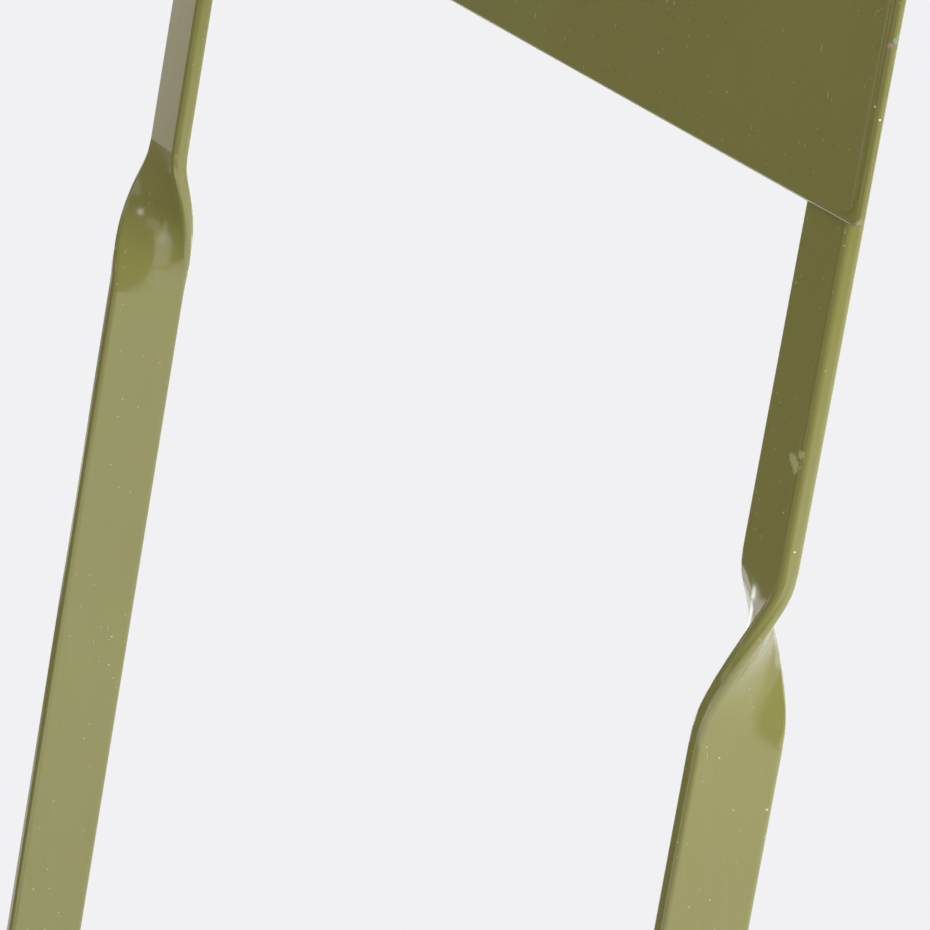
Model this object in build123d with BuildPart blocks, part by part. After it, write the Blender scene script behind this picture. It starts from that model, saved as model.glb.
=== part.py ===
"""Stacking chair in painted steel: flat-bar legs with a quarter twist, folded sheet seat and back.

Frame: millimetres, +Z up, the sitter looks along -Y, origin on the floor at the middle of the chair.
"left" and "right" are the sitter's own, so left is +X. Left pieces are modelled, right ones mirrored.
"""

from build123d import *
import os
from math import cos, hypot, radians, sin, tan

# ---- driving dimensions ---------------------------------------------------------------------
# flat bar of the legs
bar_w = 20.0  # wide side of the bar
bar_t = 4.5  # thin side of the bar
bar_edge_r = 1.6  # rolled edge of the bar
splay = 10.33  # each side leans in towards the top by this angle, degrees
leg_spacing = 383.0  # front leg axis to rear leg axis

# quarter twist of each leg
twist_length = 31.0  # along the bar, between the middles of the two eased ends
twist_ease_l = 8.0  # length over which the twist starts, and over which it ends
twist_steps = 13  # lofted spans along the twist
twist_z_front = 284.5  # height of the middle of the twist
twist_z_rear = 282.0

# folded seat
sheet_t = 1.2
seat_z = 450.0  # top face of the pan
seat_half_top = 185.0  # middle of the chair to the outer side face, measured at seat_z
skirt_bottom_z = 374.8
skirt_overhang = 6.3  # how far the skirt stands out past the narrow face of the leg
rim_w = 1.9  # width of the turned-in rim on the skirt ends
rim_bend_r = 2.0  # outer radius of that fold
rim_edge_r = 0.35  # broken edge of the rim
skirt_corner_r = 2.6  # lower corners of the skirts, seen from the side
pan_bend_r = 12.0  # outer radius where the pan turns down
lip_h = 18.0  # height of the front and rear lips
lip_corner_r = 6.0
hem_r = 0.5  # rounded outer edge along the bottom of the skirts
dish_w, dish_l, dish_depth = 310.0, 260.0, 8.0
dish_corner_r = 70.0
dish_slope = 74.0  # slope of the dish wall from the vertical, degrees
dish_ease_r = 40.0  # the wall runs into the pan and the floor of the dish this gently
drain_d = 7.0
drain_pitch = 44.0
notch_gap = 1.0  # clearance round the upright where it leaves the seat

# frame under the pan
rail_z = 424.0  # middle of the side rails
front_leg_top_z = 436.0
stiffener_w, stiffener_h, stiffener_t = 24.0, 15.0, 1.5
stiffener_end_gap = 13.0  # from each end of a stiffener to the outer side of the seat
stiffener_set_front = 31.5  # front stiffener, back from the front legs
stiffener_set_rear = 19.5  # rear stiffener, forward from the rear legs
stack_pitch = 42.0  # rise per chair in a stack
buffer_d = 22.0
buffer_taper = 3.0  # degrees
buffer_set = 32.0  # from the ends of a stiffener to the buffers
buffer_recess_d, buffer_recess_h = 11.0, 8.0
buffer_edge_r = 2.0
screw_d, screw_head_d, screw_head_h = 5.0, 9.5, 3.0
screw_head_r = 1.5
screw_socket_r, screw_socket_h = 1.75, 1.8
screw_tip = 4.0  # how far the screw stands out above the stiffener plate

# rear uprights and backrest
flat_bend_z = 468.0  # here the upright turns vertical, seen from the front
edge_bend_z = 505.0  # here the upright turns back, seen from the side
flat_bend_r, edge_bend_r = 40.0, 70.0
back_lean = 14.0  # degrees
upright_top_z = 782.0
back_h = 158.0  # along the lean
back_top_cover = 6.0  # the panel ends this far above the uprights
back_hollow = 24.0  # how far the middle of the panel curves back
back_flat = 14.0  # flat strip in front of each upright
back_gap = 0.15  # paint gap between the panel and the uprights
back_bend_r = 3.0  # fold round each upright, outer radius
back_ease_r = 30.0  # where the flat strip runs into the curve
back_lip = 10.0  # folded lips along the top and the bottom
back_edge_r = 1.0
back_flange_past = 2.0  # the side flange reaches this far behind the upright
rivet_d, rivet_head_d, rivet_head_h = 5.0, 9.0, 2.2
rivet_head_r = 1.76  # rounding of the domed head
rivet_tail_d, rivet_tail_h = 7.5, 1.2
rivet_inset = 34.0  # from the ends of the panel to the rivets

# plastic foot shoes
shoe_w, shoe_t, shoe_h = 26.0, 10.5, 24.0
shoe_r = 3.0
shoe_sole = 4.0  # plastic under the end of the bar
shoe_edge_r = 1.0

# ---- derived ---------------------------------------------------------------------------------
lean = radians(splay)
leg_y = leg_spacing / 2
half_depth = leg_y + bar_w / 2 + skirt_overhang
bar_inset = (sheet_t + bar_t / 2) / cos(lean)  # outer skirt face to bar axis, measured level
rim_level = rim_w / cos(lean)  # width of the leaning rims, measured level
twist_reach = (twist_length + twist_ease_l) / 2 * cos(lean)  # rise from the middle of the twist to its end
stiffener_half_l = seat_half_top - stiffener_end_gap
stiffener_y_front = -leg_y + stiffener_set_front
stiffener_y_rear = leg_y - stiffener_set_rear
buffer_x = stiffener_half_l - buffer_set
overrun = 30.0  # how far tools reach past what they cut


def skirt_x(z):
    """Outer side face of the skirt at a height."""
    return seat_half_top + (seat_z - z) * tan(lean)


def leg_x(z):
    """Axis of the left legs at a height."""
    return skirt_x(z) - bar_inset


def leg_plane(y, z):
    """Plane across a left leg: local x points out of the chair, local y back, local z up the bar."""
    return Plane(
        origin=(leg_x(z), y, z),
        x_dir=(cos(lean), 0, sin(lean)),
        z_dir=(-sin(lean), 0, cos(lean)),
    )


def turned(u):
    """Share of the quarter turn reached at a share u of the twist: even, with gentle ends."""
    along = u * (twist_length + twist_ease_l)
    if along < twist_ease_l:
        return along**2 / (2 * twist_ease_l * twist_length)
    if along > twist_length:
        return 1 - turned(1 - u)
    return (along - twist_ease_l / 2) / twist_length


def side_lean_outline(z_low, z_high, inset):
    """Outline across the chair whose sides follow the lean, pulled in level by inset."""
    low, high = skirt_x(z_low) - inset, skirt_x(z_high) - inset
    return [(-low, z_low), (low, z_low), (high, z_high), (-high, z_high)]


pieces = {}  # node name to solid, in the frame centred between the legs


# ---- legs: the twisted flat bar ----------------------------------------------------------------
def twisted_lower_leg(y, z_twist, hand):
    """Bar from the foot to the top of the twist; hand +1 carries its front edge outwards."""
    with BuildPart() as lower:
        # below the twist the wide side faces the front
        with BuildSketch(leg_plane(y, z_twist - twist_reach)):
            RectangleRounded(bar_t, bar_w, bar_edge_r, rotation=hand * 90)
        extrude(amount=-z_twist / cos(lean))
        split(bisect_by=Plane.XY.offset(shoe_sole), keep=Keep.TOP)
        # the quarter twist, lofted through evenly spaced sections
        for step in range(twist_steps + 1):
            u = step / twist_steps
            with BuildSketch(leg_plane(y, z_twist + twist_reach * (1 - 2 * u))):
                RectangleRounded(bar_t, bar_w, bar_edge_r, rotation=hand * 90 * turned(u))
        loft()
    return lower.part


front_start_z = twist_z_front + twist_reach
with BuildPart() as front_leg:
    add(twisted_lower_leg(-leg_y, twist_z_front, 1))
    # above the twist the wide side lies against the skirt
    with BuildSketch(leg_plane(-leg_y, front_start_z)):
        RectangleRounded(bar_t, bar_w, bar_edge_r)
    extrude(amount=front_leg_top_z - twist_z_front)
    split(bisect_by=Plane.XY.offset(front_leg_top_z), keep=Keep.BOTTOM)

pieces["front_leg_left"] = front_leg.part
pieces["front_leg_right"] = mirror(front_leg.part, about=Plane.YZ)

# the rear bar goes on past the seat as the upright of the backrest
upright_x = leg_x(flat_bend_z)
upright_y_top = leg_y + (upright_top_z - edge_bend_z) * tan(radians(back_lean))
rear_start_z = twist_z_rear + twist_reach

# ---- backrest frame of reference: the plane across the leaning uprights --------------------------
back_dir = Vector(0, sin(radians(back_lean)), cos(radians(back_lean)))
upright_top = Vector(upright_x, upright_y_top, upright_top_z)
back_origin = Vector(0, upright_top.Y, upright_top.Z) - back_dir * (back_h - back_top_cover)
back_plane = Plane(origin=back_origin, x_dir=(1, 0, 0), z_dir=back_dir)

back_side = upright_x + bar_t / 2 + back_gap + sheet_t  # outer face of the side flanges
back_front = -bar_w / 2 - back_gap - sheet_t  # front face of the flat strips
back_rear = bar_w / 2 + back_flange_past
strip_x = back_side - back_flat  # where the flat strip ends and the curve begins
rivet_rise = [rivet_inset, back_h - rivet_inset]
rivet_grip = sheet_t + back_gap + bar_t  # outer face of the flange to inner face of the upright
# planes across the rivets on the outer face of each side flange, local z pointing out of the chair
rivet_planes = [
    Plane(
        origin=back_origin + back_dir * rise + Vector(side * back_side, 0, 0),
        x_dir=(0, 1, 0),
        z_dir=(side, 0, 0),
    )
    for side in (1, -1)
    for rise in rivet_rise
]

with BuildPart() as rear_leg:
    add(twisted_lower_leg(leg_y, twist_z_rear, -1))
    with BuildLine() as upright_line:
        FilletPolyline(
            (leg_x(rear_start_z), leg_y, rear_start_z),
            (upright_x, leg_y, flat_bend_z),
            (upright_x, leg_y, edge_bend_z),
            (upright_x, upright_y_top, upright_top_z),
            radius=(flat_bend_r, edge_bend_r),
        )
    with BuildSketch(leg_plane(leg_y, rear_start_z)):
        RectangleRounded(bar_t, bar_w, bar_edge_r)
    sweep(path=upright_line.line)
    # rivet holes for the backrest
    for plane in rivet_planes:
        with BuildSketch(plane):
            Circle(rivet_d / 2)
        extrude(amount=-2 * rivet_grip, mode=Mode.SUBTRACT)

pieces["rear_leg_left"] = rear_leg.part
pieces["rear_leg_right"] = mirror(rear_leg.part, about=Plane.YZ)

# ---- backrest panel ------------------------------------------------------------------------------
far_back = back_hollow + overrun  # beyond everything the panel keeps
lip_half = upright_x - bar_t / 2 - notch_gap  # the lips stop short of the uprights


def panel_outline(inset):
    """Front and sides of the panel, seen down the lean: side flanges, flat strips, hollow front."""
    side = back_side - inset
    front = back_front + inset
    with BuildSketch() as outline:
        with BuildLine():
            ThreePointArc((-strip_x, front), (0, front + back_hollow), (strip_x, front))
            Polyline(
                (strip_x, front),
                (side, front),
                (side, far_back),
                (-side, far_back),
                (-side, front),
                (-strip_x, front),
            )
        make_face()
        front_points = outline.vertices().filter_by_position(Axis.Y, front - 1, front + 1)
        fillet(front_points.sort_by(lambda v: abs(v.X))[2:], back_bend_r - inset)
        front_points = outline.vertices().filter_by_position(Axis.Y, front - 0.01, front + 0.01)
        fillet(front_points.sort_by(lambda v: abs(v.X))[:2], back_ease_r + inset)
    return outline.sketch


with BuildPart() as backrest:
    with BuildSketch(back_plane):
        add(panel_outline(0))
    extrude(amount=back_h)
    ends = backrest.faces().filter_by(lambda f: abs(f.normal_at().dot(back_dir)) > 0.99)
    rim = [e for e in ends.edges() if back_plane.to_local_coords(e.center()).Y < far_back - 1]
    fillet(rim, back_edge_r)
    # hollow behind the sheet, closed at both ends by the lips
    with BuildSketch(back_plane.offset(sheet_t)):
        add(panel_outline(sheet_t))
    extrude(amount=back_h - 2 * sheet_t, mode=Mode.SUBTRACT)
    # lips trimmed to an even depth
    with BuildSketch(back_plane):
        with Locations((0, back_lip)):
            add(panel_outline(sheet_t))
    extrude(amount=back_h, mode=Mode.SUBTRACT)
    # room for the uprights, and the side flanges trimmed just behind them
    with BuildSketch(back_plane):
        with Locations((lip_half, back_front + sheet_t)):
            Rectangle(back_side - sheet_t - lip_half, far_back, align=Align.MIN)
        with Locations((-lip_half, back_front + sheet_t)):
            Rectangle(back_side - sheet_t - lip_half, far_back, align=(Align.MAX, Align.MIN))
        with Locations((0, back_rear)):
            Rectangle(4 * back_side, far_back, align=(Align.CENTER, Align.MIN))
            Rectangle(2 * lip_half, far_back, align=(Align.CENTER, Align.MIN), mode=Mode.SUBTRACT)
    extrude(amount=back_h, mode=Mode.SUBTRACT)
    # rivet holes
    for plane in rivet_planes:
        with BuildSketch(plane):
            Circle(rivet_d / 2)
        extrude(amount=-2 * rivet_grip, mode=Mode.SUBTRACT)

pieces["backrest_panel"] = backrest.part

# ---- rivets through the side flanges and the uprights --------------------------------------------
with BuildPart() as rivets:
    for plane in rivet_planes:
        with BuildSketch(plane.offset(-rivet_grip)):
            Circle(rivet_d / 2)
        extrude(amount=rivet_grip)
        # domed head outside, flat tail inside
        with BuildSketch(plane):
            Circle(rivet_head_d / 2)
        extrude(amount=rivet_head_h)
        with BuildSketch(plane.offset(-rivet_grip - rivet_tail_h)):
            Circle(rivet_tail_d / 2)
        extrude(amount=rivet_tail_h)
    head_rims = rivets.edges().filter_by(GeomType.CIRCLE).filter_by(
        lambda e: abs(e.center().X) > back_side + rivet_head_h / 2
    )
    fillet(head_rims, rivet_head_r)

pieces["backrest_rivets"] = rivets.part

# ---- folded seat: pan, lips, side skirts and their turned-in rims in one sheet --------------------
dish_y = (stiffener_y_front + stiffener_y_rear) / 2
notch_x = leg_x(seat_z) - bar_t / 2 - notch_gap
notch_y = leg_y - bar_w / 2 - notch_gap


def seat_block(inset):
    """Solid inside the outer faces of the seat, pulled in by a thickness, bends included."""
    top_z = seat_z - inset
    with BuildPart() as block:
        with BuildSketch(Plane.XZ):
            Polygon(*side_lean_outline(skirt_bottom_z - inset, top_z, inset / cos(lean)), align=None)
        extrude(amount=half_depth - inset, both=True)
        fillet(block.faces().sort_by(Axis.Z)[-1].edges(), pan_bend_r - inset)
        # corner notches where the uprights leave the seat
        with BuildSketch(Plane.XY.offset(front_leg_top_z)):
            with Locations((notch_x, notch_y)):
                Rectangle(overrun, overrun, align=Align.MIN)
            with Locations((-notch_x, notch_y)):
                Rectangle(overrun, overrun, align=(Align.MAX, Align.MIN))
        extrude(amount=overrun, mode=Mode.SUBTRACT)
        rising_edges = block.edges().filter_by(lambda e: e.bounding_box().size.Z > lip_h)
        corners = rising_edges.filter_by(lambda e: e.bounding_box().min.Z < skirt_bottom_z + sheet_t)
        fillet(corners, rim_bend_r - inset)
        # shallow pressed dish
        with BuildSketch(Plane.XY.offset(top_z)):
            with Locations((0, dish_y)):
                RectangleRounded(dish_w, dish_l, dish_corner_r)
        extrude(amount=-dish_depth, taper=dish_slope, mode=Mode.SUBTRACT)
        floor_edges = block.faces().filter_by(Axis.Z).group_by(Axis.Z)[-2].edges()
        fillet(floor_edges, dish_ease_r)
    return block.part


def skin_depth(point):
    """How deep a point of the skirts lies under their outer skin, bends included."""
    from_side = (skirt_x(point.Z) - abs(point.X)) * cos(lean)
    from_end = half_depth - abs(point.Y)
    if max(from_side, from_end) < rim_bend_r:
        return rim_bend_r - hypot(rim_bend_r - from_side, rim_bend_r - from_end)
    return min(from_side, from_end)


def on_skin(edge):
    """Whether an edge runs along the outer skin of the skirts."""
    return max(skin_depth(edge @ share) for share in (0, 0.5, 1)) < 0.05


with BuildPart() as seat:
    add(seat_block(0))
    add(seat_block(sheet_t), mode=Mode.SUBTRACT)
    # open the front and the back below the lips, leaving the rims beside the skirts
    with BuildSketch(Plane.XZ):
        window = Polygon(
            *side_lean_outline(skirt_bottom_z - overrun, seat_z - lip_h, rim_level),
            align=None,
        )
        fillet(window.vertices().group_by(Axis.Y)[-1], lip_corner_r)
    extrude(amount=half_depth + overrun, both=True, mode=Mode.SUBTRACT)
    # lower corners of the skirts, rounded as seen from the side
    with BuildSketch(Plane.YZ):
        with Locations((0, skirt_bottom_z)):
            side_view = Rectangle(2 * half_depth, 2 * seat_z, align=(Align.CENTER, Align.MIN))
        fillet(side_view.vertices().group_by(Axis.Y)[0], skirt_corner_r)
    extrude(amount=2 * seat_half_top, both=True, mode=Mode.INTERSECT)
    # drain holes in the dish
    with BuildSketch(Plane.XY.offset(seat_z)):
        with Locations((0, dish_y)):
            Circle(drain_d / 2)
            with PolarLocations(drain_pitch, 4):
                Circle(drain_d / 2)
    extrude(amount=-2 * dish_depth, mode=Mode.SUBTRACT)
    # rounded outer edge along the bottom of the skirts, then broken edges along the rims
    low_edges = seat.edges().filter_by(lambda e: e.center().Z < skirt_bottom_z + skirt_corner_r)
    fillet(low_edges.filter_by(on_skin), hem_r)
    rising_edges = seat.edges().filter_by(GeomType.LINE).filter_by(lambda e: abs(e.tangent_at(0.5).Z) > 0.5)
    end_edges = rising_edges.filter_by(lambda e: abs(e.center().Y) > half_depth - sheet_t / 2)
    rim_edges = end_edges.filter_by(lambda e: abs(e.center().X) > skirt_x(e.center().Z) - 2 * rim_w)
    fillet(rim_edges, rim_edge_r)

pieces["seat_shell"] = seat.part

# ---- frame under the pan -------------------------------------------------------------------------
with BuildPart() as side_rail:
    # a plain length of the same bar between the two legs, on edge against the skirt
    rail_half = leg_y - bar_w / 2
    rail_plane = leg_plane(0, rail_z)
    with BuildSketch(Plane(origin=rail_plane.origin, x_dir=rail_plane.x_dir, z_dir=(0, 1, 0))):
        RectangleRounded(bar_t, bar_w, bar_edge_r)
    extrude(amount=rail_half, both=True)

pieces["side_rail_left"] = side_rail.part
pieces["side_rail_right"] = mirror(side_rail.part, about=Plane.YZ)


def pan_stiffener(y):
    """Folded channel welded open side up under the pan, with holes for the buffer screws."""
    top_z = seat_z - sheet_t
    with BuildPart() as channel:
        with BuildSketch(Plane.YZ):
            with Locations((y, top_z)):
                outer = Rectangle(stiffener_w, stiffener_h, align=(Align.CENTER, Align.MAX))
                fillet(outer.vertices().group_by(Axis.Y)[0], 2 * stiffener_t)
            with Locations((y, top_z)):
                inner = Rectangle(
                    stiffener_w - 2 * stiffener_t,
                    stiffener_h - stiffener_t,
                    align=(Align.CENTER, Align.MAX),
                    mode=Mode.PRIVATE,
                )
            add(inner, mode=Mode.SUBTRACT)
        extrude(amount=stiffener_half_l, both=True)
        with Locations((buffer_x, y, top_z - stiffener_h), (-buffer_x, y, top_z - stiffener_h)):
            Cylinder(screw_d / 2, 4 * stiffener_t, mode=Mode.SUBTRACT)
    return channel.part


pieces["pan_stiffener_front"] = pan_stiffener(stiffener_y_front)
pieces["pan_stiffener_rear"] = pan_stiffener(stiffener_y_rear)

# ---- stacking buffers and their screws ------------------------------------------------------------
buffer_top_z = seat_z - sheet_t - stiffener_h
buffer_h = buffer_top_z - (seat_z - stack_pitch)


def stacking_buffer(x, y):
    """Soft foot under the seat that lands on the pan of the chair below."""
    with BuildPart() as stud:
        with BuildSketch(Plane.XY.offset(buffer_top_z)):
            with Locations((x, y)):
                Circle(buffer_d / 2)
        extrude(amount=-buffer_h, taper=buffer_taper)
        fillet(stud.edges().sort_by(Axis.Z)[0], buffer_edge_r)
        with BuildSketch(Plane.XY.offset(buffer_top_z)):
            with Locations((x, y)):
                Circle(screw_d / 2)
        extrude(amount=-buffer_h, mode=Mode.SUBTRACT)
        with BuildSketch(Plane.XY.offset(buffer_top_z - buffer_h)):
            with Locations((x, y)):
                Circle(buffer_recess_d / 2)
        extrude(amount=buffer_recess_h, mode=Mode.SUBTRACT)
    return stud.part


buffer_spots = {
    "front_left": (buffer_x, stiffener_y_front),
    "front_right": (-buffer_x, stiffener_y_front),
    "rear_left": (buffer_x, stiffener_y_rear),
    "rear_right": (-buffer_x, stiffener_y_rear),
}
for spot, (x, y) in buffer_spots.items():
    pieces[f"stacking_buffer_{spot}"] = stacking_buffer(x, y)

with BuildPart() as screws:
    head_z = buffer_top_z - buffer_h + buffer_recess_h
    with BuildSketch(Plane.XY.offset(head_z)):
        with Locations(*buffer_spots.values()):
            Circle(screw_d / 2)
    extrude(amount=buffer_top_z + stiffener_t + screw_tip - head_z)
    with BuildSketch(Plane.XY.offset(head_z)):
        with Locations(*buffer_spots.values()):
            Circle(screw_head_d / 2)
    extrude(amount=-screw_head_h)
    head_rims = screws.edges().filter_by(GeomType.CIRCLE).group_by(Axis.Z)[0]
    fillet(head_rims, screw_head_r)
    # hexagon sockets
    with BuildSketch(Plane.XY.offset(head_z - screw_head_h)):
        with Locations(*buffer_spots.values()):
            RegularPolygon(screw_socket_r, 6)
    extrude(amount=screw_socket_h, mode=Mode.SUBTRACT)

pieces["buffer_screws"] = screws.part


# ---- plastic foot shoes ----------------------------------------------------------------------------
def foot_shoe(y):
    """Moulded shoe pushed over the end of a left leg, its sole flat on the floor."""
    with BuildPart() as socket:
        with BuildSketch(leg_plane(y, 0)):
            RectangleRounded(bar_w, bar_t, bar_edge_r)
        extrude(amount=2 * shoe_h)
        split(bisect_by=Plane.XY.offset(shoe_sole), keep=Keep.TOP)
    with BuildPart() as shoe:
        with BuildSketch(leg_plane(y, 0)):
            RectangleRounded(shoe_w, shoe_t, shoe_r)
        extrude(amount=shoe_h / cos(lean), both=True)
        split(bisect_by=Plane.XY, keep=Keep.TOP)
        split(bisect_by=Plane.XY.offset(shoe_h), keep=Keep.BOTTOM)
        fillet(shoe.faces().filter_by(Axis.Z).edges(), shoe_edge_r)
        add(socket.part, mode=Mode.SUBTRACT)
    return shoe.part


for place, y in (("front", -leg_y), ("rear", leg_y)):
    shoe = foot_shoe(y)
    pieces[f"foot_shoe_{place}_left"] = shoe
    pieces[f"foot_shoe_{place}_right"] = mirror(shoe, about=Plane.YZ)

# ---- export, with the origin under the middle of the overall depth -------------------------------
boxes = [piece.bounding_box() for piece in pieces.values()]
middle_y = (min(box.min.Y for box in boxes) + max(box.max.Y for box in boxes)) / 2
os.makedirs("parts", exist_ok=True)
for name, piece in pieces.items():
    placed = piece.moved(Location((0, -middle_y, 0)))
    placed.label = name
    export_step(placed, f"parts/{name}.step")
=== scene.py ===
"""Looks for the stacking chair: olive powder coat with wear, rubber, plastic and zinc, in a pale studio.

Everything is in metres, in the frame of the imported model: +Z up, the sitter looks along -Y.
"""

from math import cos, radians, sin, tan

import bpy
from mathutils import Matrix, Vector

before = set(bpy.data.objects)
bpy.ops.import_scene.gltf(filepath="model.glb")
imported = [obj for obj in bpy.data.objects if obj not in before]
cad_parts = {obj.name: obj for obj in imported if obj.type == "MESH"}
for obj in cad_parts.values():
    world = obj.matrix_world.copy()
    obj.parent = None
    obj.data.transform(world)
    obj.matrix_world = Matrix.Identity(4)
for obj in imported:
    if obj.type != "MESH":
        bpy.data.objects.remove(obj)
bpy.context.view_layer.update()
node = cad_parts

# ---- driving values -----------------------------------------------------------------------------
# camera: it looks at one side of the chair, between seat and knees, from the front and a little above
CAMERA_AZIMUTH = -20.919
CAMERA_ELEVATION = 16.831
CAMERA_LENS = 225.63
CAMERA_DISTANCE = 1.2
CAMERA_AIM = Vector((-0.24996, -0.16900, 0.31068))

# colours, linear RGB
OLIVE = (0.243, 0.230, 0.061)
OLIVE_PAINTED_SHADE = (0.222, 0.210, 0.040)
OLIVE_DUSTY = (0.330, 0.310, 0.150)
CHIP_PALE = (0.560, 0.560, 0.430)
CHIP_PINK = (0.420, 0.270, 0.240)
CHIP_GREEN = (0.250, 0.330, 0.260)
SCUFF_YELLOW = (0.400, 0.395, 0.105)
CHIP_WHITE = (0.800, 0.840, 0.780)
RUBBER = (0.030, 0.030, 0.030)
RUBBER_DUSTY = (0.085, 0.082, 0.075)
PLASTIC = (0.035, 0.035, 0.035)
PLASTIC_SCUFFED = (0.140, 0.135, 0.125)
ZINC = (0.550, 0.550, 0.560)
ZINC_DULL = (0.400, 0.395, 0.380)
BACKGROUND = (0.880, 0.880, 0.896)

# the powder coat: how its shade drifts, and the painted shade that deepens it towards the feet
SHADE_DRIFT = 0.045
DRIFT_SCALE = 14.0
FOOT_PAINTED_SHADE = 0.95
FOOT_PAINTED_SHADE_Z = (0.24, 0.31)
GRAIN_SCALE = (900.0, 900.0, 25.0)
GRAIN_SHARE = (-0.06, 0.12)
# how it shines: roughness at its glossiest and dullest, and how much rougher its marks are
COAT_GLOSS = 0.13
COAT_DULL = 0.19
COAT_IOR = 1.7
SMEAR_SCALE = 35.0
MARK_ROUGHNESS = 0.30
PEEL_SCALE = 700.0
PEEL_HEIGHT = 1.0e-6
# its marks, lengths in metres
SPECK_RADIUS = 0.00014
COARSE_SPECK = 1.6
FINE_DUST_CELL = 0.0025
COARSE_DUST_CELL = 0.0080
SCRATCH_SCALE = (1500.0, 1500.0, 90.0)
SCRATCH_FROM = (0.775, 0.82)
SCRATCH_SHARE = 0.5
SCRATCH_DEPTH = 4.0e-6
WORN_EDGE = 0.0007
RUBBED_SCALE = 260.0
RUBBED_FROM = (0.44, 0.62)
RUBBED_SHARE = 0.7
CHIP_DEPTH = 3.0e-5
CHIP_RAGGED = 1.4
CHIP_RAGGED_SCALE = 3200.0
CHIP_RIM = 0.00015
STRAY_CHIP_CELL = 0.030
STRAY_CHIP_RADIUS = 0.00025

# folded sheet and flat bar, as in the solids
LEAN = radians(10.33)
SKIRT_FRONT_Y = -0.2465
SKIRT_BOTTOM_Z = 0.3748
SKIRT_BOTTOM_X = 0.1987
LEG_FRONT_Y = -0.2402
TWIST_TOP_Z = 0.300

# a low bead runs beside the front edges; the distances count from the front plane: foot, top, foot
SKIRT_BEAD = (0.0010, 0.0024, 0.0044)
LEG_BEAD = (0.0004, 0.0014, 0.0033)
SKIRT_BEAD_HEIGHT = 1.10e-4
LEG_BEAD_HEIGHT = 6.8e-5
# in front of the bead the coat is painted a little darker: painted shade
SKIRT_PAINTED_SHADE = (0.0009, 0.0016, 0.0026)
LEG_PAINTED_SHADE = (0.0006, 0.0011, 0.0018)
# the skirt's bead turns its lower corner this roundly and fades out this far behind the front
BEAD_CORNER = 0.006
BEAD_END_Y = 0.010
# above the twist the leg's bead takes this long to begin
LEG_BEAD_START = 0.02
# the skirt's front hem rolls over more and more between these distances from its outside
HEM_ROLL_START = 0.0007
HEM_ROLL_REACH = 0.002
HEM_ROLL = 650.0
HEM_BACK_Y = (0.003, 0.002)
# and its lower edge turns under within this distance
UNDER_ROLL_START = 0.00095
UNDER_ROLL = 330.0

# the larger chips: place, radius, colour
CHIPS = (
    ((-0.1916, -0.2457, 0.4104), 0.00050, CHIP_PINK),
    ((-0.1908, -0.2463, 0.4114), 0.00050, CHIP_GREEN),
    ((-0.1937, -0.2462, 0.3960), 0.00013, CHIP_WHITE),
    ((-0.1943, -0.2451, 0.3984), 0.00015, CHIP_WHITE),
    ((-0.2063, -0.2352, 0.3264), 0.00070, SCUFF_YELLOW),
    ((-0.2063, -0.2366, 0.3260), 0.00115, SCUFF_YELLOW),
    ((-0.2064, -0.2380, 0.3252), 0.00125, SCUFF_YELLOW),
    ((-0.2059, -0.2391, 0.3278), 0.00080, SCUFF_YELLOW),
    ((-0.2074, -0.2402, 0.3082), 0.00011, CHIP_WHITE),
    ((-0.2091, -0.2324, 0.2516), 0.00018, CHIP_PALE),
)

# ambient light: its strength, and how much it gains towards one side
AMBIENT = 0.59
AMBIENT_SIDE = (-1.0, 0.0, 0.0)
AMBIENT_SLOPE = 0.30
# the only lamp that lights the paint itself
KEY_PLACE = (1.45, -2.35, 0.6)
KEY_AIM = (-0.1, 0.0, 0.35)
KEY_SIZE = (0.7, 0.9)
KEY_POWER = 65
KEY_COLOUR = (0.955, 1.0, 1.0)

# floor as the camera sees it: the background's colour with the chair's shadow on it
FLOOR_HALF = 6.0
FLOOR_COLOUR = (0.80, 0.80, 0.81)
FLOOR_ROUGHNESS = 0.9
SHADOW_SHARE = 0.67
SHADOW_COLOUR = (0.725, 0.725, 0.737)
SHADOW_REACH = (0.55, 0.85)
SHADOW_AWAY = (0.42, 0.52)

# What the paint mirrors: white paper on the floor with the chair's shade on it, a bright wall behind,
# some soft lamps, and darkness elsewhere. Places across and away are metres from below the camera's aim.
DARK_STUDIO = 0.02
PAPER_GLOW = 1.12
PAPER_SOFT = 0.045
PAPER_LEFT = -0.79
PAPER_SPREAD = -0.30
PAPER_FRONT = -1.19
PAPER_SLANT = 0.37
PAPER_RIGHT = (0.70, 1.15)
PAPER_RIGHT_SHARE = 0.50
SHADE_FRONT = -0.1
SHADE_EDGE = -0.058
SHADE_SLANT = 0.55
SHADE_SOFT = 0.03
PAPER_BEHIND = (0.40, 0.56)
PAPER_BEHIND_SHARE = 0.95
# the wall, and a brighter strip along its foot: left, right, away, height, watts per square metre, colour
BACK_WALL = (-0.71, 2.29, 1.0, 2.0, 3.3, (1.0, 0.94, 0.96))
BACK_FOOT = (-0.73, -0.40, 0.99, 0.07, 7.0, (0.93, 1.0, 0.95))
# lamps that only mirrored rays see: name, place, aim, size, power
FAR_TWIST = (-0.213, 0.153, 0.285)
MIRRORED_LAMPS = (
    ("strip", (-0.734, -0.321, 0.08), (-0.19, -0.24, 0.25), (0.24, 0.30), 0.16),
    ("high_strip", (-1.4, -0.42, 0.18), (-0.19, -0.24, 0.35), (0.35, 0.7), 0.45),
    ("window", (-1.125, 0.657, 0.885), FAR_TWIST, (0.7, 0.35), 0.50),
    ("spot", (-0.627, 0.0645, 0.4335), FAR_TWIST, (0.06, 0.06), 0.042),
)


# ---- node helpers -------------------------------------------------------------------------------
def new_material(name):
    """A new material and its node tree."""
    material = bpy.data.materials.new(name)
    material.use_nodes = True
    return material, material.node_tree


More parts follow.
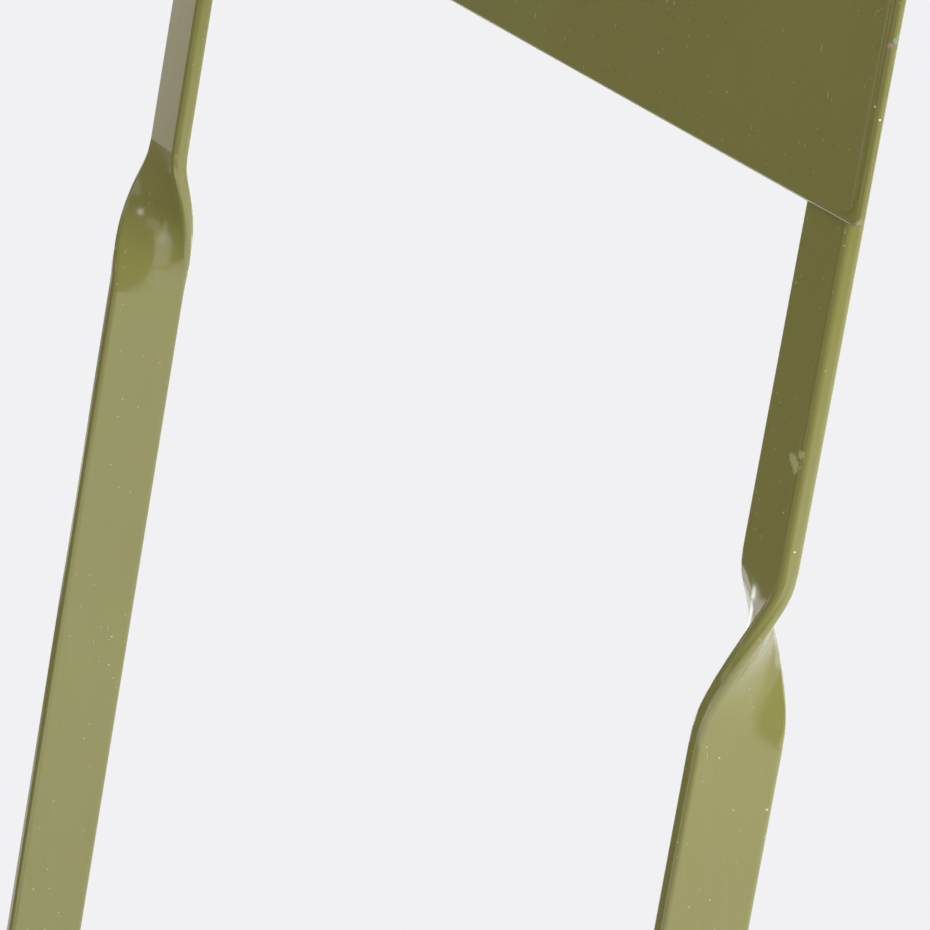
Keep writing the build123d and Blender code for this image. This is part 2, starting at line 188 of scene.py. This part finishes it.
def feed(tree, socket, value):
    """Gives a socket a plain value or another socket's output."""
    if isinstance(value, bpy.types.NodeSocket):
        tree.links.new(value, socket)
    else:
        socket.default_value = value


def calculate(tree, operation, *values):
    step = tree.nodes.new("ShaderNodeMath")
    step.operation = operation
    for socket, value in zip(step.inputs, values):
        feed(tree, socket, value)
    return step.outputs[0]


def fold(tree, operation, values):
    """All values taken together by one Math operation, two at a time."""
    result = values[0]
    for value in values[1:]:
        result = calculate(tree, operation, result, value)
    return result


def product(tree, *values):
    return fold(tree, "MULTIPLY", values)


def largest(tree, *values):
    return fold(tree, "MAXIMUM", values)


def total(tree, *values):
    return fold(tree, "ADD", values)


def ramp_up(tree, value, low, high):
    """0 below low, 1 above high, smooth between; falls instead where low is the larger."""
    step = tree.nodes.new("ShaderNodeMapRange")
    step.interpolation_type = "SMOOTHSTEP"
    feed(tree, step.inputs["Value"], value)
    step.inputs["From Min"].default_value = low
    step.inputs["From Max"].default_value = high
    return step.outputs["Result"]


def between(tree, share, low, high):
    """low where the share is 0, high where it is 1."""
    step = tree.nodes.new("ShaderNodeMapRange")
    feed(tree, step.inputs["Value"], share)
    step.inputs["To Min"].default_value = low
    step.inputs["To Max"].default_value = high
    return step.outputs["Result"]


def tint(tree, share, below, above):
    """Colour that goes from below to above with the share."""
    step = tree.nodes.new("ShaderNodeMixRGB")
    for socket, value in zip(step.inputs, (share, below, above)):
        feed(tree, socket, (*value, 1) if isinstance(value, tuple) else value)
    return step.outputs["Color"]


def object_place(tree):
    return tree.nodes.new("ShaderNodeTexCoord").outputs["Object"]


def axes(tree, place):
    split = tree.nodes.new("ShaderNodeSeparateXYZ")
    tree.links.new(place, split.inputs[0])
    return split.outputs["X"], split.outputs["Y"], split.outputs["Z"]


def stretched(tree, place, scale):
    """The place with each axis scaled on its own, for marks that are longer one way."""
    step = tree.nodes.new("ShaderNodeMapping")
    tree.links.new(place, step.inputs["Vector"])
    step.inputs["Scale"].default_value = scale
    return step.outputs["Vector"]


def noise(tree, place, scale, detail=2.0):
    step = tree.nodes.new("ShaderNodeTexNoise")
    tree.links.new(place, step.inputs["Vector"])
    step.inputs["Scale"].default_value = scale
    step.inputs["Detail"].default_value = detail
    return step.outputs["Fac"]


def specks(tree, place, cell, radius):
    """1 inside small round spots, one to a cell where the surface meets it."""
    cells = tree.nodes.new("ShaderNodeTexVoronoi")
    tree.links.new(place, cells.inputs["Vector"])
    cells.inputs["Scale"].default_value = 1 / cell
    return ramp_up(tree, cells.outputs["Distance"], 1.4 * radius / cell, 0.6 * radius / cell)


def distance_to(tree, place, spot):
    step = tree.nodes.new("ShaderNodeVectorMath")
    step.operation = "DISTANCE"
    tree.links.new(place, step.inputs[0])
    step.inputs[1].default_value = spot
    return step.outputs["Value"]


def bump(tree, height):
    """Normal of a surface raised by a height in metres."""
    step = tree.nodes.new("ShaderNodeBump")
    step.inputs["Distance"].default_value = 1.0
    tree.links.new(height, step.inputs["Height"])
    return step.outputs["Normal"]


def finish_shader(tree, colour, roughness, height):
    shader = tree.nodes["Principled BSDF"]
    feed(tree, shader.inputs["Base Color"], colour)
    feed(tree, shader.inputs["Roughness"], roughness)
    tree.links.new(bump(tree, height), shader.inputs["Normal"])
    return shader


# ---- powder coat --------------------------------------------------------------------------------
def worn_edges(tree, radius):
    """1 along sharp edges: there a rounded normal leaves the surface's own."""
    rounded = tree.nodes.new("ShaderNodeBevel")
    rounded.samples = 4
    rounded.inputs["Radius"].default_value = radius
    own = tree.nodes.new("ShaderNodeNewGeometry")
    agree = tree.nodes.new("ShaderNodeVectorMath")
    agree.operation = "DOT_PRODUCT"
    tree.links.new(rounded.outputs["Normal"], agree.inputs[0])
    tree.links.new(own.outputs["Normal"], agree.inputs[1])
    return ramp_up(tree, agree.outputs["Value"], 0.97, 0.80)


def chips(tree, place, colour):
    """Flaked spots: the listed ones, and few small ones anywhere. Gives colour and share."""
    ragged = noise(tree, place, CHIP_RAGGED_SCALE, 3.0)
    ragged = between(tree, ragged, -CHIP_RAGGED, CHIP_RAGGED)
    share = 0.0
    for spot, radius, chip_colour in CHIPS:
        reach = calculate(tree, "MULTIPLY_ADD", ragged, radius, distance_to(tree, place, spot))
        here = ramp_up(tree, reach, radius + CHIP_RIM, radius)
        colour = tint(tree, here, colour, chip_colour)
        share = largest(tree, here, share)
    stray = specks(tree, place, STRAY_CHIP_CELL, STRAY_CHIP_RADIUS)
    colour = tint(tree, stray, colour, CHIP_PALE)
    return colour, largest(tree, share, stray)


def bead_profile(tree, distance, profile):
    """Height share of a low ridge with its foot, top and other foot at three distances."""
    near, top, far = profile
    return product(
        tree,
        ramp_up(tree, distance, near, top),
        ramp_up(tree, distance, far, top),
    )


def skirt_relief_and_painted_shade(tree, place):
    """Bead beside the skirt's front edge, round its lower corner, and the rolled hem; and where painted
    shade lies in front of the bead.
    """
    x, y, z = axes(tree, place)
    from_front = calculate(tree, "SUBTRACT", y, SKIRT_FRONT_Y)
    from_bottom = calculate(tree, "SUBTRACT", z, SKIRT_BOTTOM_Z)
    sides = []
    for distance in (from_front, from_bottom):
        inside = calculate(tree, "SUBTRACT", BEAD_CORNER, distance)
        inside = calculate(tree, "MAXIMUM", inside, 0.0)
        sides.append(calculate(tree, "POWER", inside, 2.0))
    reach = calculate(tree, "SQRT", total(tree, *sides))
    from_outline = calculate(tree, "SUBTRACT", BEAD_CORNER, reach)
    bead = bead_profile(tree, from_outline, SKIRT_BEAD)
    painted_shade = bead_profile(tree, from_outline, SKIRT_PAINTED_SHADE)
    near_front = ramp_up(tree, from_front, BEAD_END_Y, BEAD_CORNER)
    bead = product(tree, bead, near_front, SKIRT_BEAD_HEIGHT)
    lean_in = calculate(tree, "MULTIPLY", from_bottom, tan(LEAN))
    outside = calculate(tree, "SUBTRACT", SKIRT_BOTTOM_X, lean_in)
    from_side = calculate(tree, "SUBTRACT", outside, calculate(tree, "ABSOLUTE", x))
    over = calculate(tree, "SUBTRACT", from_side, HEM_ROLL_START)
    over = calculate(tree, "MINIMUM", calculate(tree, "MAXIMUM", over, 0.0), HEM_ROLL_REACH)
    hem = product(tree, over, over, ramp_up(tree, from_front, *HEM_BACK_Y), -HEM_ROLL)
    below = calculate(tree, "SUBTRACT", UNDER_ROLL_START, from_bottom)
    below = calculate(tree, "MAXIMUM", below, 0.0)
    under = product(tree, below, below, -UNDER_ROLL)
    return total(tree, bead, hem, under), product(tree, painted_shade, near_front)


def leg_relief_and_painted_shade(tree, place):
    """Bead beside the front edge of the upper part of the leg, and where painted shade lies in front of
    it.
    """
    x, y, z = axes(tree, place)
    from_front = calculate(tree, "SUBTRACT", y, LEG_FRONT_Y)
    bead = bead_profile(tree, from_front, LEG_BEAD)
    painted_shade = bead_profile(tree, from_front, LEG_PAINTED_SHADE)
    above_twist = ramp_up(tree, z, TWIST_TOP_Z, TWIST_TOP_Z + LEG_BEAD_START)
    return product(tree, bead, above_twist, LEG_BEAD_HEIGHT), product(tree, painted_shade, above_twist)


def shaded(colour, share):
    return tuple(part * share for part in colour)


def olive(tree, place):
    """The coat's colour before any mark: drifting shade, painted shade deeper towards the feet, a dusty
    grain.
    """
    drift = noise(tree, place, DRIFT_SCALE, 3.0)
    deep = shaded(OLIVE, 1 - 2 * SHADE_DRIFT)
    pale = shaded(OLIVE, 1 + 2 * SHADE_DRIFT)
    colour = tint(tree, drift, deep, pale)
    # painted shade: the coat darkens towards the feet, for light that falls off lower down
    low = ramp_up(tree, axes(tree, place)[2], *reversed(FOOT_PAINTED_SHADE_Z))
    painted_foot_shade = tint(tree, drift, shaded(deep, FOOT_PAINTED_SHADE), shaded(pale, FOOT_PAINTED_SHADE))
    colour = tint(tree, low, colour, painted_foot_shade)
    grain = noise(tree, stretched(tree, place, GRAIN_SCALE), 1.0, 2.0)
    return tint(tree, between(tree, grain, *GRAIN_SHARE), colour, OLIVE_DUSTY)


def dust_specks(tree, place):
    fine = specks(tree, place, FINE_DUST_CELL, SPECK_RADIUS)
    coarse = specks(tree, place, COARSE_DUST_CELL, COARSE_SPECK * SPECK_RADIUS)
    return largest(tree, fine, coarse)


def fine_scratches(tree, place):
    lines = noise(tree, stretched(tree, place, SCRATCH_SCALE), 1.0, 1.0)
    return ramp_up(tree, lines, *SCRATCH_FROM)


def rubbed_edges(tree, place):
    patches = ramp_up(tree, noise(tree, place, RUBBED_SCALE, 4.0), *RUBBED_FROM)
    return product(tree, worn_edges(tree, WORN_EDGE), patches)


def powder_coat(name, relief_and_painted_shade=None):
    """Semi-gloss olive coat: drifting shade, painted shade towards the feet and in front of any bead,
    dust, fine scratches, chips and rubbed edges.
    """
    material, tree = new_material(name)
    place = object_place(tree)

    colour = olive(tree, place)
    colour = tint(tree, dust_specks(tree, place), colour, CHIP_PALE)
    scratches = fine_scratches(tree, place)
    colour = tint(tree, calculate(tree, "MULTIPLY", scratches, SCRATCH_SHARE), colour, CHIP_PALE)
    rubbed = rubbed_edges(tree, place)
    colour = tint(tree, calculate(tree, "MULTIPLY", rubbed, RUBBED_SHARE), colour, CHIP_PALE)
    relief_height = 0.0
    if relief_and_painted_shade:
        relief_height, painted_shade = relief_and_painted_shade(tree, place)
        # painted shade: a darker olive in front of the bead
        colour = tint(tree, painted_shade, colour, OLIVE_PAINTED_SHADE)
    colour, flaked = chips(tree, place, colour)

    marks = largest(tree, scratches, rubbed, flaked)
    smear = between(tree, noise(tree, place, SMEAR_SCALE, 3.0), COAT_GLOSS, COAT_DULL)
    roughness = calculate(tree, "MULTIPLY_ADD", marks, MARK_ROUGHNESS, smear)

    peel = product(tree, noise(tree, place, PEEL_SCALE, 2.0), PEEL_HEIGHT)
    cut = product(tree, scratches, -SCRATCH_DEPTH)
    pit = product(tree, flaked, -CHIP_DEPTH)
    height = total(tree, peel, cut, pit, relief_height)
    shader = finish_shader(tree, colour, roughness, height)
    shader.inputs["IOR"].default_value = COAT_IOR
    return material


# ---- rubber, plastic and zinc -------------------------------------------------------------------
def rubber():
    """Matt black rubber with dust on it and a moulded grain."""
    material, tree = new_material("buffer_rubber")
    place = object_place(tree)
    dust = ramp_up(tree, noise(tree, place, 90.0, 5.0), 0.40, 0.75)
    colour = tint(tree, dust, RUBBER, RUBBER_DUSTY)
    roughness = between(tree, dust, 0.55, 0.85)
    grain = product(tree, noise(tree, place, 1500.0, 3.0), 2.0e-5)
    finish_shader(tree, colour, roughness, grain)
    return material


def plastic():
    """Moulded black polyethylene, scuffed grey where it meets the floor."""
    material, tree = new_material("shoe_plastic")
    place = object_place(tree)
    low = ramp_up(tree, axes(tree, place)[2], 0.012, 0.001)
    patches = ramp_up(tree, noise(tree, place, 320.0, 5.0), 0.42, 0.62)
    strokes = noise(tree, stretched(tree, place, (300.0, 300.0, 1400.0)), 1.0)
    strokes = ramp_up(tree, strokes, 0.62, 0.72)
    scuffs = product(tree, low, largest(tree, patches, strokes))
    dust = ramp_up(tree, noise(tree, place, 60.0, 4.0), 0.45, 0.8)
    dust = calculate(tree, "MULTIPLY", dust, 0.35)
    marks = largest(tree, scuffs, dust)
    colour = tint(tree, marks, PLASTIC, PLASTIC_SCUFFED)
    roughness = between(tree, marks, 0.38, 0.70)
    grain = product(tree, noise(tree, place, 1100.0, 3.0), 1.2e-5)
    cuts = product(tree, scuffs, -3.0e-5)
    finish_shader(tree, colour, roughness, total(tree, grain, cuts))
    return material


def zinc():
    """Zinc-plated screws: bright with dull bloom and fine turning marks."""
    material, tree = new_material("zinc_screws")
    place = object_place(tree)
    bloom = ramp_up(tree, noise(tree, place, 420.0, 5.0), 0.40, 0.68)
    colour = tint(tree, bloom, ZINC, ZINC_DULL)
    roughness = between(tree, bloom, 0.26, 0.48)
    turned = noise(tree, stretched(tree, place, (500.0, 500.0, 4000.0)), 1.0)
    turned = product(tree, turned, 4.0e-6)
    shader = finish_shader(tree, colour, roughness, turned)
    shader.inputs["Metallic"].default_value = 1.0
    return material


def dress():
    """Every solid gets its finish; names that aren't listed are painted steel."""
    plain_coat = powder_coat("painted_steel")
    rules = (
        ("seat_shell", powder_coat("painted_steel_skirt", skirt_relief_and_painted_shade)),
        ("front_leg", powder_coat("painted_steel_leg", leg_relief_and_painted_shade)),
        ("stacking_buffer", rubber()),
        ("foot_shoe", plastic()),
        ("buffer_screws", zinc()),
    )
    for name, piece in node.items():
        chosen = [material for start, material in rules if name.startswith(start)]
        piece.data.materials.clear()
        piece.data.materials.append(chosen[0] if chosen else plain_coat)


dress()

# ---- camera ---------------------------------------------------------------------------------------
camera_data = bpy.data.cameras.new("camera")
camera_data.lens = CAMERA_LENS
camera_data.sensor_width = 36
camera_data.clip_end = 50
camera = bpy.data.objects.new("camera", camera_data)
bpy.context.scene.collection.objects.link(camera)
camera.rotation_euler = (radians(90 - CAMERA_ELEVATION), 0, radians(CAMERA_AZIMUTH))
backwards = camera.rotation_euler.to_matrix() @ Vector((0, 0, 1))
camera.location = CAMERA_AIM + backwards * CAMERA_DISTANCE
bpy.context.scene.camera = camera

# ---- studio -------------------------------------------------------------------------------------
def light_path(tree, kind):
    return tree.nodes.new("ShaderNodeLightPath").outputs[kind]


def mix_shaders(tree, share, below, above):
    """The first shader where the share is 0, the second where it is 1."""
    step = tree.nodes.new("ShaderNodeMixShader")
    for socket, value in zip(step.inputs, (share, below, above)):
        tree.links.new(value, socket)
    return step.outputs[0]


def glowing(tree, kind, colour, strength=1.0):
    """A Background node of the world or an Emission node of a surface."""
    step = tree.nodes.new(kind)
    step.inputs["Color"].default_value = (*colour, 1)
    feed(tree, step.inputs["Strength"], strength)
    return step.outputs[0]


def studio_world():
    """The background for the camera, darkness for mirrored rays, soft ambient light for the rest."""
    world = bpy.data.worlds.new("studio")
    bpy.context.scene.world = world
    world.use_nodes = True
    world.cycles.sampling_method = "NONE"
    tree = world.node_tree
    place = tree.nodes.new("ShaderNodeTexCoord")
    towards = tree.nodes.new("ShaderNodeVectorMath")
    towards.operation = "DOT_PRODUCT"
    tree.links.new(place.outputs["Generated"], towards.inputs[0])
    towards.inputs[1].default_value = AMBIENT_SIDE
    strength = calculate(tree, "MULTIPLY_ADD", towards.outputs["Value"], AMBIENT_SLOPE, AMBIENT)
    ambient = glowing(tree, "ShaderNodeBackground", (1, 1, 1), strength)
    dark = glowing(tree, "ShaderNodeBackground", (1, 1, 1), DARK_STUDIO)
    unseen = mix_shaders(tree, light_path(tree, "Is Glossy Ray"), ambient, dark)
    backdrop = glowing(tree, "ShaderNodeBackground", BACKGROUND)
    seen = mix_shaders(tree, light_path(tree, "Is Camera Ray"), unseen, backdrop)
    tree.links.new(seen, tree.nodes["World Output"].inputs["Surface"])


def shaded_background(tree, place, away):
    """Background colour, part of it lit by the lamps near the chair, so its shadow shows."""
    plain = glowing(tree, "ShaderNodeEmission", BACKGROUND)
    base = glowing(tree, "ShaderNodeEmission", BACKGROUND, 1 - SHADOW_SHARE)
    lit = tree.nodes.new("ShaderNodeBsdfDiffuse")
    lit.inputs["Color"].default_value = (*SHADOW_COLOUR, 1)
    both = tree.nodes.new("ShaderNodeAddShader")
    tree.links.new(base, both.inputs[0])
    tree.links.new(lit.outputs[0], both.inputs[1])
    middle = (*chair_middle(), 0)
    beside = ramp_up(tree, distance_to(tree, place, middle), *reversed(SHADOW_REACH))
    in_front = ramp_up(tree, away, *reversed(SHADOW_AWAY))
    return mix_shaders(tree, product(tree, beside, in_front), plain, both.outputs[0])


def chair_middle():
    """The chair's middle, across and away from the camera, from below its aim."""
    turn = radians(CAMERA_AZIMUTH)
    x, y = -CAMERA_AIM.x, -CAMERA_AIM.y
    return x * cos(turn) + y * sin(turn), y * cos(turn) - x * sin(turn)


def white_paper(tree, across, away):
    """1 where mirrored rays find white paper on the floor, 0 where they find the dark room.

    Behind the camera's aim the left edge slants inwards, the front edge slants too, and the paper
    dims towards the right. The chair's shade lies on it left of a slanting edge.
    """
    behind_aim = calculate(tree, "MAXIMUM", away, 0.0)
    left = calculate(tree, "MULTIPLY_ADD", behind_aim, PAPER_SPREAD, across)
    from_left = ramp_up(tree, left, PAPER_LEFT - PAPER_SOFT, PAPER_LEFT + PAPER_SOFT)
    front = calculate(tree, "MULTIPLY_ADD", across, -PAPER_SLANT, away)
    from_front = ramp_up(tree, front, PAPER_FRONT - PAPER_SOFT, PAPER_FRONT + PAPER_SOFT)
    from_right = ramp_up(tree, across, *reversed(PAPER_RIGHT))
    from_right = between(tree, from_right, PAPER_RIGHT_SHARE, 1.0)
    in_front = ramp_up(tree, away, SHADE_FRONT + PAPER_SOFT, SHADE_FRONT - PAPER_SOFT)
    edge = calculate(tree, "MULTIPLY_ADD", away, SHADE_SLANT, across)
    beside = ramp_up(tree, edge, SHADE_EDGE - SHADE_SOFT, SHADE_EDGE + SHADE_SOFT)
    behind = ramp_up(tree, away, *PAPER_BEHIND)
    behind = calculate(tree, "MULTIPLY", behind, PAPER_BEHIND_SHARE)
    unshaded = largest(tree, in_front, beside, behind)
    return product(tree, from_left, from_front, from_right, unshaded)


def floor_material():
    """Background with shadow for the camera, paper for mirrored rays, matt white for the rest.

    From below the camera sees through it, so that the chair's underside shows.
    """
    material, tree = new_material("studio_floor")
    material.cycles.emission_sampling = "NONE"
    matt = tree.nodes["Principled BSDF"]
    matt.inputs["Base Color"].default_value = (*FLOOR_COLOUR, 1)
    matt.inputs["Roughness"].default_value = FLOOR_ROUGHNESS
    place = object_place(tree)
    across, away, _ = axes(tree, place)
    brightness = between(tree, white_paper(tree, across, away), DARK_STUDIO, PAPER_GLOW)
    glow = glowing(tree, "ShaderNodeEmission", (1, 1, 1), brightness)
    unseen = mix_shaders(tree, light_path(tree, "Is Glossy Ray"), matt.outputs[0], glow)
    below = tree.nodes.new("ShaderNodeNewGeometry").outputs["Backfacing"]
    clear = tree.nodes.new("ShaderNodeBsdfTransparent").outputs[0]
    seen = mix_shaders(tree, below, shaded_background(tree, place, away), clear)
    surface = mix_shaders(tree, light_path(tree, "Is Camera Ray"), unseen, seen)
    tree.links.new(surface, tree.nodes["Material Output"].inputs["Surface"])
    return material


def studio_floor():
    """Plain floor, squared to the camera, so that its own X is across and its Y away."""
    mesh = bpy.data.meshes.new("floor")
    half = FLOOR_HALF
    corners = [(-half, -half, 0), (half, -half, 0), (half, half, 0), (-half, half, 0)]
    mesh.from_pydata(corners, [], [(0, 1, 2, 3)])
    mesh.materials.append(floor_material())
    floor = bpy.data.objects.new("floor", mesh)
    bpy.context.scene.collection.objects.link(floor)
    floor.location = (CAMERA_AIM.x, CAMERA_AIM.y, 0)
    floor.rotation_euler = (0, 0, radians(CAMERA_AZIMUTH))


def softbox(name, place, aim, size, power, colour=(1, 1, 1), mirrored_only=False):
    data = bpy.data.lights.new(name, "AREA")
    data.shape = "RECTANGLE"
    data.size, data.size_y = size
    data.energy = power
    data.color = colour
    lamp = bpy.data.objects.new(name, data)
    bpy.context.scene.collection.objects.link(lamp)
    lamp.location = place
    lamp.rotation_euler = (Vector(place) - Vector(aim)).to_track_quat("Z", "Y").to_euler()
    lamp.visible_camera = False
    lamp.visible_diffuse = not mirrored_only
    lamp.visible_glossy = mirrored_only


def paper_point(across, away, height):
    """World place of a point given across and away from the camera, from below its aim."""
    turn = radians(CAMERA_AZIMUTH)
    right = Vector((cos(turn), sin(turn), 0))
    ahead = Vector((-sin(turn), cos(turn), 0))
    return Vector((CAMERA_AIM.x, CAMERA_AIM.y, height)) + across * right + away * ahead


def bright_wall(name, left, right, away, height, glow, colour):
    """Upright sheet of light that stands on the floor squared to the camera. The paint mirrors it."""
    middle = (left + right) / 2
    place = paper_point(middle, away, height / 2)
    aim = paper_point(middle, 0, height / 2)
    power = glow * (right - left) * height
    softbox(name, place, aim, (right - left, height), power, colour, mirrored_only=True)


studio_world()
studio_floor()
softbox("key", KEY_PLACE, KEY_AIM, KEY_SIZE, KEY_POWER, KEY_COLOUR)
bright_wall("backdrop", *BACK_WALL)
bright_wall("backdrop_foot", *BACK_FOOT)
for name, place, aim, size, power in MIRRORED_LAMPS:
    softbox(name, place, aim, size, power, mirrored_only=True)

bpy.context.scene.view_settings.view_transform = "Standard"
